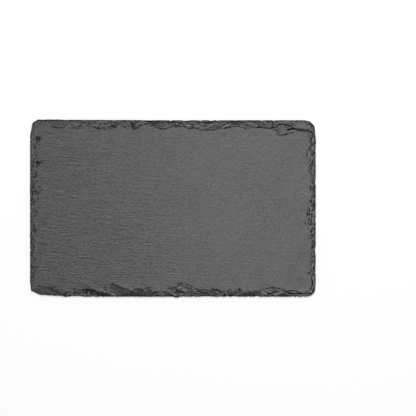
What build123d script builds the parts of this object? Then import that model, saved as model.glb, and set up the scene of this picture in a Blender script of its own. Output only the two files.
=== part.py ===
from build123d import *

import os
from math import atan2, cos, degrees, hypot, radians, sin

# Slate serving board: one riven slab with hand-dressed edges, standing on four stick-on rubber feet.
# Millimetres. +Z is up, +X runs along the long side, +Y points to the back edge.
# The origin is on the table, under the middle of the board.

# Driving dimensions of the slab
BOARD_LENGTH = 265.0
BOARD_WIDTH = 164.5
SLATE_THICKNESS = 6.0
FRONT_RIGHT_RADIUS = 8.5
BACK_RIGHT_RADIUS = 12.0

# The two left corners were trimmed with a few blows: (distance from the left, from the long edge, rounding)
FRONT_LEFT_TRIM = [(0.0, 14.0, 30.0), (0.75, 5.7, 2.5), (8.4, 1.9, 12.0), (33.0, 0.0, 60.0)]
BACK_LEFT_TRIM = [(7.2, 0.0, 5.0), (2.15, 3.1, 2.0), (0.0, 15.5, 30.0)]

# The back edge is dressed a little further in, except at its left end: (distance from the left, rounding)
BACK_INSET = 0.7
BACK_TURNS = [(108.0, 200.0), (32.0, 200.0)]

# The dressed edge: a square lip stays at the foot of the wall, and a slope runs from it up to the face
LIP_HEIGHT = 0.8
SLOPE_INSET = 5.5
FLAKE_LIP = 1.0
FLAKE_LIP_SWING = 0.4
FLAKE_OVERLAP = 1.7
FLAKE_SKEW = 20.0
BLOW_STEP = 172.0

# Each hammer blow takes one flake off the edge: (stretch of edge, bite into the face, cliff where it ends).
# A flake that broke off short along a layer leaves a cliff, and one that ran out thin leaves none.
# The walk round the board is anticlockwise seen from above, starting at the front left corner.
FRONT_FLAKES = [
    (30.0, 9.4, 0.4), (9.0, 6.0, 0.0), (10.0, 7.4, 0.2), (14.0, 7.9, 0.8), (11.0, 3.7, 0.6),
    (15.0, 11.6, 0.7), (9.5, 5.6, 0.6), (9.0, 7.1, 0.7), (7.0, 7.8, 0.0), (10.5, 5.1, 0.3),
    (9.0, 8.7, 0.3), (19.0, 12.1, 0.4), (16.0, 6.5, 0.5), (10.0, 7.7, 0.3), (10.0, 6.1, 0.3),
    (10.0, 8.2, 0.3), (12.0, 4.8, 0.4), (26.0, 8.5, 0.4), (12.0, 5.9, 0.4), (16.0, 3.7, 0.3),
]
RIGHT_FLAKES = [
    (12.0, 5.0, 0.2), (11.0, 7.2, 0.3), (10.0, 4.6, 0.0), (12.0, 4.2, 0.0), (10.0, 5.2, 0.2),
    (9.0, 6.9, 0.0), (11.0, 5.0, 0.2), (12.0, 6.5, 0.0), (10.0, 5.0, 0.0), (11.0, 6.0, 0.2),
    (10.0, 5.5, 0.0), (13.0, 8.4, 0.2), (9.0, 7.9, 0.0), (11.0, 6.0, 0.2), (13.0, 6.6, 0.0),
]
BACK_FLAKES = [
    (22.0, 3.6, 0.0), (21.0, 14.9, 0.2), (17.0, 8.2, 0.2), (15.0, 9.1, 0.2), (15.0, 8.5, 0.3),
    (21.0, 10.4, 0.4), (12.0, 8.4, 0.4), (12.0, 6.5, 0.4), (15.0, 9.3, 0.3), (13.0, 4.2, 0.4),
    (8.5, 8.9, 0.7), (9.5, 8.5, 0.0), (13.0, 8.4, 0.5), (10.0, 9.3, 0.4), (11.0, 7.1, 0.2),
    (13.0, 8.4, 0.2), (17.0, 8.4, 0.3), (20.0, 6.0, 0.0),
]
LEFT_FLAKES = [
    (14.0, 5.5, 0.0), (8.0, 7.4, 0.2), (9.0, 6.6, 0.0), (7.0, 7.2, 0.2), (10.0, 6.4, 0.0),
    (8.0, 7.6, 0.2), (9.0, 6.2, 0.0), (7.0, 7.8, 0.2), (8.0, 6.6, 0.0), (9.0, 7.4, 0.2),
    (10.0, 6.0, 0.0), (7.0, 7.0, 0.2), (9.0, 6.4, 0.0), (8.0, 5.8, 0.2), (10.0, 6.6, 0.0),
    (9.0, 5.6, 0.2), (8.0, 5.2, 0.0), (14.0, 5.4, 0.2),
]

# Two small nicks in the left edge: (distance from the back corner, width, bite, drop below the face)
LEFT_NICKS = [(17.8, 5.0, 10.6, 1.3), (40.3, 3.8, 12.0, 1.3)]

# One cleavage layer has come away at the back right corner, over the first flake's stretch of the edge
TERRACE_REACH = 11.0
TERRACE_DEPTH = 1.2
TERRACE_TURN = -4.0

# Stick-on feet
FOOT_DIAMETER = 12.0
FOOT_HEIGHT = 2.0
FOOT_DRAFT = 8.0
FOOT_RIM_FILLET = 0.4
FOOT_INSET = 24.0
GLUE_MARGIN = 0.5
GLUE_THICKNESS = 0.2

# Heights and places that follow from the sizes above
GLUE_BASE = FOOT_HEIGHT
UNDERSIDE = GLUE_BASE + GLUE_THICKNESS
FACE = UNDERSIDE + SLATE_THICKNESS
FOOT_X = BOARD_LENGTH / 2 - FOOT_INSET
FOOT_Y = BOARD_WIDTH / 2 - FOOT_INSET
TERRACE_LENGTH = BACK_FLAKES[0][0]
SLOPE_HEIGHT = SLATE_THICKNESS - LIP_HEIGHT
SLOPE_TAPER = degrees(atan2(SLOPE_INSET, SLOPE_HEIGHT))
CUT_CLEARANCE = 1.0

os.makedirs("parts", exist_ok=True)


def side_plane(x, y, run):
    """A frame where a side begins: X along the side, Y into the board, Z up from the underside."""
    return Plane(origin=(x, y, UNDERSIDE), x_dir=run, z_dir=(0, 0, 1))


FRONT_SIDE = side_plane(-BOARD_LENGTH / 2, -BOARD_WIDTH / 2, (1, 0, 0))
RIGHT_SIDE = side_plane(BOARD_LENGTH / 2, -BOARD_WIDTH / 2, (0, 1, 0))
BACK_SIDE = side_plane(BOARD_LENGTH / 2, BOARD_WIDTH / 2 - BACK_INSET, (-1, 0, 0))
LEFT_SIDE = side_plane(-BOARD_LENGTH / 2, BOARD_WIDTH / 2 - BACK_INSET, (0, -1, 0))


def facing(side, spot, way):
    """A plane at a spot of a side's frame that faces the given way of that frame."""
    origin = side.from_local_coords(spot)
    return Plane(origin=origin, z_dir=side.from_local_coords(spot + way) - origin)


def flake(side, along, width, bite, drop, skew, cliff=0.0):
    """The round trough that one flake leaves, from the face, bite in from the edge, down and out.

    drop is how far below the face it leaves the wall, and width is the trough's width there. It begins
    straight below the face, as deep as its cliff. A steep trough is skewed less, so that neither of its
    sides breaks through the lip.
    """
    slope = atan2(drop - cliff, bite)
    sagitta = drop * cos(slope)
    radius = ((width / 2) ** 2 + sagitta**2) / (2 * sagitta)
    turn = radians(skew) * cos(slope) ** 4
    outward = Vector(sin(turn) * cos(slope), -cos(turn) * cos(slope), -sin(slope))
    upward = Vector(sin(turn) * sin(slope), -cos(turn) * sin(slope), cos(slope))
    length = 2 * (hypot(bite, drop) + radius) + CUT_CLEARANCE
    head = Vector(along, bite, SLATE_THICKNESS - cliff)
    middle = head + upward * radius + outward * (length / 2 - CUT_CLEARANCE)
    trough = facing(side, middle, outward).location * Cylinder(radius, length, mode=Mode.PRIVATE)
    if cliff == 0:
        return trough
    level = Vector(outward.X, outward.Y, 0)
    return split(trough, bisect_by=facing(side, head, level), keep=Keep.TOP, mode=Mode.PRIVATE)


def dressed_side(side, length, flakes):
    """The flakes of one side: blow after blow, from corner to corner, until the side is used up."""
    cuts = []
    along = 0.0
    while along < length - CUT_CLEARANCE:
        stretch, bite, cliff = flakes[len(cuts) % len(flakes)]
        blow = radians(BLOW_STEP * (len(cuts) + 1))
        lip = FLAKE_LIP + FLAKE_LIP_SWING * cos(blow)
        drop = SLATE_THICKNESS - lip
        skew = FLAKE_SKEW * sin(blow)
        cuts.append(flake(side, along + stretch / 2, stretch * FLAKE_OVERLAP, bite, drop, skew, cliff))
        along += stretch
    return cuts


# Slate slab
left, right = -BOARD_LENGTH / 2, BOARD_LENGTH / 2
front, back = -BOARD_WIDTH / 2, BOARD_WIDTH / 2
corners = [((left + across, front + up), rounding) for across, up, rounding in FRONT_LEFT_TRIM]
corners += [((right, front), FRONT_RIGHT_RADIUS), ((right, back - BACK_INSET), BACK_RIGHT_RADIUS)]
turn_lines = [back - BACK_INSET, back]
corners += [((left + across, y), rounding) for (across, rounding), y in zip(BACK_TURNS, turn_lines)]
corners += [((left + across, back - down), rounding) for across, down, rounding in BACK_LEFT_TRIM]
flakes = (
    dressed_side(FRONT_SIDE, BOARD_LENGTH, FRONT_FLAKES)
    + dressed_side(RIGHT_SIDE, BOARD_WIDTH, RIGHT_FLAKES)
    + dressed_side(BACK_SIDE, BOARD_LENGTH, BACK_FLAKES)
    + dressed_side(LEFT_SIDE, BOARD_WIDTH, LEFT_FLAKES)
    + [flake(LEFT_SIDE, *nick, 0.0) for nick in LEFT_NICKS]
)
with BuildPart() as slab:
    with BuildSketch(Plane.XY.offset(UNDERSIDE)) as outline:
        with BuildLine():
            Polyline([corner for corner, radius in corners], close=True)
        make_face()
        for corner, radius in corners:
            fillet(outline.vertices().sort_by_distance(corner)[0], radius)
    extrude(amount=LIP_HEIGHT)
    extrude(slab.faces().sort_by(Axis.Z)[-1], amount=SLOPE_HEIGHT, taper=SLOPE_TAPER)
    add(flakes, mode=Mode.SUBTRACT)
    with Locations(Location((BOARD_LENGTH / 2, BOARD_WIDTH / 2, FACE), (0, 0, TERRACE_TURN))):
        Box(2 * TERRACE_LENGTH, 2 * TERRACE_REACH, 2 * TERRACE_DEPTH, mode=Mode.SUBTRACT)
slab.part.label = "slate_slab"
export_step(slab.part, "parts/slate_slab.step")

# Feet and the glue discs that hold them to the underside
feet = {
    "front_left": (-FOOT_X, -FOOT_Y),
    "front_right": (FOOT_X, -FOOT_Y),
    "back_right": (FOOT_X, FOOT_Y),
    "back_left": (-FOOT_X, FOOT_Y),
}
for place, (x, y) in feet.items():
    with BuildPart() as foot:
        with BuildSketch(Plane((x, y, FOOT_HEIGHT))):
            Circle(FOOT_DIAMETER / 2)
        extrude(amount=-FOOT_HEIGHT, taper=FOOT_DRAFT)
        fillet(foot.edges().sort_by(Axis.Z)[0], FOOT_RIM_FILLET)
    foot.part.label = f"rubber_foot_{place}"
    export_step(foot.part, f"parts/rubber_foot_{place}.step")

    with BuildPart() as glue:
        with BuildSketch(Plane((x, y, GLUE_BASE))):
            Circle(FOOT_DIAMETER / 2 - GLUE_MARGIN)
        extrude(amount=GLUE_THICKNESS)
    glue.part.label = f"glue_disc_{place}"
    export_step(glue.part, f"parts/glue_disc_{place}.step")
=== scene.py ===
# %% [markdown]
# # A riven slate serving board
# The board is one thin slab of slate. It was split along the natural layers of the stone, which leaves a
# face with fine ripples, and its edges were knapped with a hammer, which leaves a border of broken flakes.
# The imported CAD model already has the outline, the thickness, the flake scars, the feet and the glue. So
# this script loads it as a fixed frame, and adds what the eye misses there: layers, ripples and finishes.

# %% Load the board's frame
import math

import bmesh
import bpy
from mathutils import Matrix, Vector, kdtree, noise
from mathutils.bvhtree import BVHTree


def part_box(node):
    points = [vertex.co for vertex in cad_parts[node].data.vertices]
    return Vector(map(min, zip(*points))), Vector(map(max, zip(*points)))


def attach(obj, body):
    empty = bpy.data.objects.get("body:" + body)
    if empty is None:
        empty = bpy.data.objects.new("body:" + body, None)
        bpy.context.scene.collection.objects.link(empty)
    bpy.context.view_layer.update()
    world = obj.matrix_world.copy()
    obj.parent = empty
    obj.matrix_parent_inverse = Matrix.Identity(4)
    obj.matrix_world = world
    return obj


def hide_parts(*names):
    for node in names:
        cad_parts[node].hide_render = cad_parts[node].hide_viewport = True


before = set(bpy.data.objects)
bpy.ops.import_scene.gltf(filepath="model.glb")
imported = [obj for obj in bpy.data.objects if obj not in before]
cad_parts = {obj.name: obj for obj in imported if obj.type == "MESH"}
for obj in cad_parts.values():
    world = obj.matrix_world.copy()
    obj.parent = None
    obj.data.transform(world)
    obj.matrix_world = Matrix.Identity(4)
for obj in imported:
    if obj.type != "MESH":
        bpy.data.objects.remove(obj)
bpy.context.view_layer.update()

MM = 0.001
slab_low, slab_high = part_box("slate_slab")
print("slab of the frame, mm:", [round((b - a) / MM, 1) for a, b in zip(slab_low, slab_high)])

# %% [markdown]
# ## A grid to carve
# A stone face could be sculpted from a subdivided block, but most of its detail sits near the rim, and its
# ripples run along the board. So the start is a flat grid that is made for this stone: its lines lie close
# together in a band along each edge, where the flakes are, and between the bands they lie closer across the
# ripples than along them. The front and back bands are then split once more along their length.

# %% Lay out the grid
EDGE_BAND = 12.5 * MM
EDGE_STEP = 0.45 * MM
LENGTH_STEP = 1.75 * MM
WIDTH_STEP = 0.6 * MM
BAND_CUTS = 3
half_length = (slab_high.x - slab_low.x) / 2
half_width = (slab_high.y - slab_low.y) / 2
underside = slab_low.z
face_level = slab_high.z


def line_counts(half, step):
    """How many lines lie between the middle and one end: first in the plain area, then in the edge band."""
    return round((half - EDGE_BAND) / step), round(EDGE_BAND / EDGE_STEP)


def line_at(t, half, step):
    """Where the line at t lies, for t from -1 at one end of the board to 1 at the other."""
    plain, band = line_counts(half, step)
    count = abs(t) * (plain + band)
    inner = half - EDGE_BAND
    reach = inner * count / plain if count < plain else inner + EDGE_BAND * (count - plain) / band
    return math.copysign(reach, t)


def lies_in_long_band(edge):
    """Whether an edge runs along the board inside its front or back band, between the two end bands."""
    a, b = (v.co for v in edge.verts)
    between = max(abs(a.x), abs(b.x)) < half_length - EDGE_BAND + EDGE_STEP / 2
    outside = min(abs(a.y), abs(b.y)) > half_width - EDGE_BAND + EDGE_STEP / 2
    return between and outside and abs(a.x - b.x) > abs(a.y - b.y)


slab = bmesh.new()
bmesh.ops.create_grid(
    slab, size=1.0,
    x_segments=2 * sum(line_counts(half_length, LENGTH_STEP)),
    y_segments=2 * sum(line_counts(half_width, WIDTH_STEP)),
)
for v in slab.verts:
    v.co = (line_at(v.co.x, half_length, LENGTH_STEP), line_at(v.co.y, half_width, WIDTH_STEP), 0.0)
bmesh.ops.subdivide_edges(slab, edges=[e for e in slab.edges if lies_in_long_band(e)], cuts=BAND_CUTS)
# Each place carries these numbers. The next cells fill them in, and the material reads four of them.
gap_of, depth_of, broken_of, ridge_of, end_on_shade_of, tone_of, scar_of, bed_of, rubble_of = (
    slab.verts.layers.float.new(name)
    for name in ("rim_gap", "depth", "broken", "ridge", "end_on_shade", "tone", "scar", "bed", "rubble")
)
print("grid:", len(slab.verts), "places,", len(slab.faces), "faces")

# %% [markdown]
# ## Fit the rim to the stone
# The real outline isn't a perfect rounded rectangle: each corner was trimmed differently, and small notches
# and a few knobs break the straight sides. First each corner of the grid is pulled in to a quarter circle.
# Then a ray is cast from outside at each place of the rim to find the wall of the CAD slab, and the rim
# moves there. Short lists place the notches that show, and a little noise makes the line wander between
# them, as a broken edge does. The places near the rim follow it, less and less inwards.

# %% Pull the rim to the wall
CORNER = 8.0 * MM
WALL_HEIGHT = 0.15 * MM
OUTSIDE = 8.0 * MM
FOLLOW = 10.0 * MM
NOTCH_FLANK = 0.8
WANDER = 0.3 * MM
WANDER_MEAN = 0.25
# Waves of the wandering line: (share of WANDER, length in mm).
WANDER_WAVES = ((0.35, 6.0), (0.4, 1.8))
# Notches in the rim: (place along the side, half its width, depth) in mm. A knob has a depth below zero.
# Places on the long sides count from the left, and places on the ends from the back.
RIM_NOTCHES = {
    "front": [
        (13.5, 3, 0.2), (20, 1.6, 0.35), (27.3, 5, 0.5), (33, 1.5, -0.3), (38.6, 3, 0.45), (44, 7.5, 0.45),
        (58.5, 2, 0.4), (65.5, 2, 0.3), (78.3, 1.5, 0.3), (99, 1.5, 0.3), (135.9, 3.2, -0.8),
        (142.4, 1.3, 0.35), (151.6, 1.1, 0.6), (163, 7, 0.4), (169.3, 1.2, 0.4), (176.7, 0.9, 0.5),
        (183.2, 1.5, 0.6), (188.8, 2.9, 0.5), (192, 1.2, 0.45), (202.6, 1.4, 0.4), (205.5, 0.8, 0.3),
        (210.5, 3.2, 0.6), (224.5, 1.1, 0.35), (243.6, 1.6, 0.4), (247.7, 1.4, 0.5), (253.7, 1.6, 0.5),
        (257.4, 1.6, 0.35),
    ],
    "back": [
        (33.5, 4.6, 0.3), (36, 14, 0.15), (52, 14, 0.25), (72, 14, 0.15), (113, 12, 0.15), (130.3, 1.4, 0.65),
        (144.6, 5.5, 0.4), (158.3, 2.1, 0.4), (167.9, 1.9, 0.55), (173.9, 1.9, 0.35), (190.2, 2.8, 0.25),
        (215.2, 1.2, 0.35), (225.9, 1.4, 0.6), (245.4, 0.8, 0.35), (261, 5, -0.5),
    ],
    "left": [(19, 1.5, 0.35), (107.6, 1.1, -0.35), (121, 1.1, 0.5)],
    "right": [
        (4, 5, -0.5), (12, 4.4, 0.45), (21.3, 1.1, -0.3), (28.7, 1.7, 0.3), (58, 2.5, 0.4), (93, 1.8, 0.3),
        (121, 3.6, 0.55), (124.4, 1.5, 0.3), (136.8, 4.6, 0.25), (142, 2.2, 0.45), (156, 4, 0.35),
    ],
}
stone = BVHTree.FromObject(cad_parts["slate_slab"], bpy.context.evaluated_depsgraph_get())


def corner_centre(x, y):
    """The nearest point of the rectangle on which the rounded outline is drawn."""
    reach_x = half_length - CORNER
    reach_y = half_width - CORNER
    return max(-reach_x, min(reach_x, x)), max(-reach_y, min(reach_y, y))


def round_off(x, y):
    """Pulls a place in a square corner in to the quarter circle."""
    cx, cy = corner_centre(x, y)
    a, b = x - cx, y - cy
    if a == 0 or b == 0:
        return x, y
    shrink = max(abs(a), abs(b)) / math.hypot(a, b)
    return cx + a * shrink, cy + b * shrink


def outward(x, y):
    """The way out of the board at this place near its rim."""
    cx, cy = corner_centre(x, y)
    return Vector((x - cx, y - cy, 0.0)).normalized()


def smooth_step(low, high, t):
    """0 below low, 1 above high, and a soft rise between them."""
    t = max(0.0, min(1.0, (t - low) / (high - low)))
    return t * t * (3 - 2 * t)


def nearest_side(x, y):
    """The side nearest to a place, and how far along that side the place lies, in mm."""
    if half_width - abs(y) < half_length - abs(x):
        return "front" if y < 0 else "back", (x + half_length) / MM
    return "left" if x < 0 else "right", (half_width - y) / MM


def wander(x, y):
    """How far the broken edge falls short of its true line here."""
    side, along = nearest_side(x, y)
    notch = sum(
        depth * smooth_step(0.0, NOTCH_FLANK, 1 - abs(along - at) / half)
        for at, half, depth in RIM_NOTCHES[side]
    )
    place = Vector((x, y, 0.0)) / MM
    shake = sum((share * noise.noise(place / length) for share, length in WANDER_WAVES), WANDER_MEAN)
    return notch * MM + max(0.0, shake) * WANDER


for v in slab.verts:
    v.co.x, v.co.y = round_off(v.co.x, v.co.y)
rim = [v for v in slab.verts if v.is_boundary]
rim_tree = kdtree.KDTree(len(rim))
rim_shift = []
for index, v in enumerate(rim):
    rim_tree.insert(v.co, index)
    way = outward(v.co.x, v.co.y)
    start = v.co + way * OUTSIDE + Vector((0, 0, underside + WALL_HEIGHT))
    hit = stone.ray_cast(start, -way)[0]
    rim_shift.append(Vector((hit.x - v.co.x, hit.y - v.co.y, 0.0)) - way * wander(v.co.x, v.co.y))
rim_tree.balance()


def follow_rim(spot, margin):
    """How far the nearest place of the rim is from a spot, and how much of its move the spot takes over."""
    index, distance = rim_tree.find(Vector((spot.x, spot.y, 0.0)))[1:]
    return distance, rim_shift[index] * max(0.0, min(1.0, 1 - (distance - margin) / FOLLOW)) ** 2


for v in slab.verts:
    v[gap_of], shift = follow_rim(v.co, 0.0)
    v.co += shift
print("rim:", len(rim), "places, moved up to", round(max(s.length for s in rim_shift) / MM, 2), "mm")

# %% [markdown]
# ## Break the edge into plates
# Slate breaks along its layers, so a flake scar is never one smooth slope. It is a stack of thin plates,
# each with its own outline and a steep little cliff at its end. Blender's Shrinkwrap modifier could lay the
# grid on the smooth scars of the CAD slab, but it can't make plates. So the edge is divided into Voronoi
# cells in long bands that wander along it, and each cell becomes one plate: a ray down at its seed finds the
# depth and the slope of the CAD slab there, and the plate takes that depth, with less slope. Between two
# plates a cliff is left, and the inner line of the scars becomes as jagged as the cells are.

# %% Lay the plates on the scars
# Cells and waves of noise are measured in plain millimetres. Lengths on the mesh have MM and are in metres.
DOWN = Vector((0, 0, -1))
MIDDLE = Vector((0.5, 0.5, 0.5))
BROKEN_REACH = EDGE_BAND + 4.0 * MM
CORNER_BLEND = 3.0 * MM
SEAT_STEP = 0.4 * MM
LEAST_UPRIGHT = 0.45
PLATE_LONG = 8.0
PLATE_SHORT = 2.4
PLATE_SLOPE = 0.45
PLATE_SHARE = 0.85
PLATE_RISE = 0.4 * MM
PLATE_FULL = 0.5 * MM
FLAT_RISE = 0.25
STEEP_SLOPE = 0.5
PLATE_TONE = 0.1
PLATE_CHANCE = 7.31
BAND_WANDER = 5.0
BAND_REACH = 17.0
BAND_SLICE = 0.5
FRONT_LEAN = 0.35
# The slice of the noise that each side is cut from.
SIDE_SLICE = {"front": 5.0, "back": 4.0, "left": 4.0, "right": 5.0}
plates = {}


def seat(x, y):
    """The depth of the CAD slab below its face, and how it grows along X and Y. Outside, the rim counts."""
    spot = Vector((x, y, 2 * face_level))
    hit, normal = stone.ray_cast(spot, DOWN)[:2]
    while hit is None:
        spot -= outward(spot.x, spot.y) * SEAT_STEP
        hit, normal = stone.ray_cast(spot, DOWN)[:2]
    upright = max(normal.z, LEAST_UPRIGHT)
    return max(0.0, face_level - hit.z), normal.x / upright, normal.y / upright


def long_side_share(x, y):
    """1 where the front or back edge is the nearest, 0 where the left or right edge is."""
    nearer = (half_length - abs(x)) - (half_width - abs(y))
    return smooth_step(-CORNER_BLEND, CORNER_BLEND, nearer)


def band_line(along, side):
    """How far in from the edge the plates' bands have wandered, at this place along a side, in mm."""
    lean = -FRONT_LEAN * along if side == "front" else 0.0
    return lean + BAND_WANDER * noise.noise(Vector((along / BAND_REACH, SIDE_SLICE[side], BAND_SLICE)))


def plate(x, y, side):
    """The depth of the plate of this side that covers a place, and the plate's own chance number."""
    lengthwise = side in ("front", "back")
    edge = (half_width if lengthwise else half_length) / MM
    across = (y if lengthwise else x) / MM
    along = (x if lengthwise else y) / MM
    inward = edge - abs(across) - band_line(along, side)
    place = Vector((along / PLATE_LONG, inward / PLATE_SHORT, 2 * SIDE_SLICE[side]))
    seed = noise.voronoi(place)[1][0]
    key = (round(seed.x, 4), round(seed.y, 4), side)
    if key not in plates:
        seed_along = seed.x * PLATE_LONG
        seed_across = edge - seed.y * PLATE_SHORT - band_line(seed_along, side)
        seed_across = math.copysign(max(0.0, seed_across), across)
        seed_x, seed_y = (seed_along, seed_across) if lengthwise else (seed_across, seed_along)
        chance = noise.cell(seed * PLATE_CHANCE + MIDDLE)
        plates[key] = (seed_x * MM, seed_y * MM, *seat(seed_x * MM, seed_y * MM), chance)
    seed_x, seed_y, depth, grow_x, grow_y, chance = plates[key]
    steep = min(1.0, math.hypot(grow_x, grow_y) / STEEP_SLOPE)
    rise = PLATE_RISE * smooth_step(0.0, PLATE_FULL, depth) * (FLAT_RISE + (1 - FLAT_RISE) * steep)
    slope = grow_x * (x - seed_x) + grow_y * (y - seed_y)
    return depth + PLATE_SLOPE * slope + rise * chance, chance


for v in slab.verts:
    if v[gap_of] > BROKEN_REACH:
        continue
    x, y = v.co.x, v.co.y
    share = long_side_share(x, y)
    depth_x, chance_x = plate(x, y, "front" if y < 0 else "back") if share > 0 else (0.0, 0.0)
    depth_y, chance_y = plate(x, y, "left" if x < 0 else "right") if share < 1 else (0.0, 0.0)
    plated = depth_x * share + depth_y * (1 - share)
    v[scar_of] = seat(x, y)[0]
    v[depth_of] = max(0.0, PLATE_SHARE * plated + (1 - PLATE_SHARE) * v[scar_of])
    v[tone_of] = PLATE_TONE * (chance_x * share + chance_y * (1 - share))
print("plates:", len(plates), "deepest:", round(max(v[depth_of] for v in slab.verts) / MM, 2), "mm")
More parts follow.
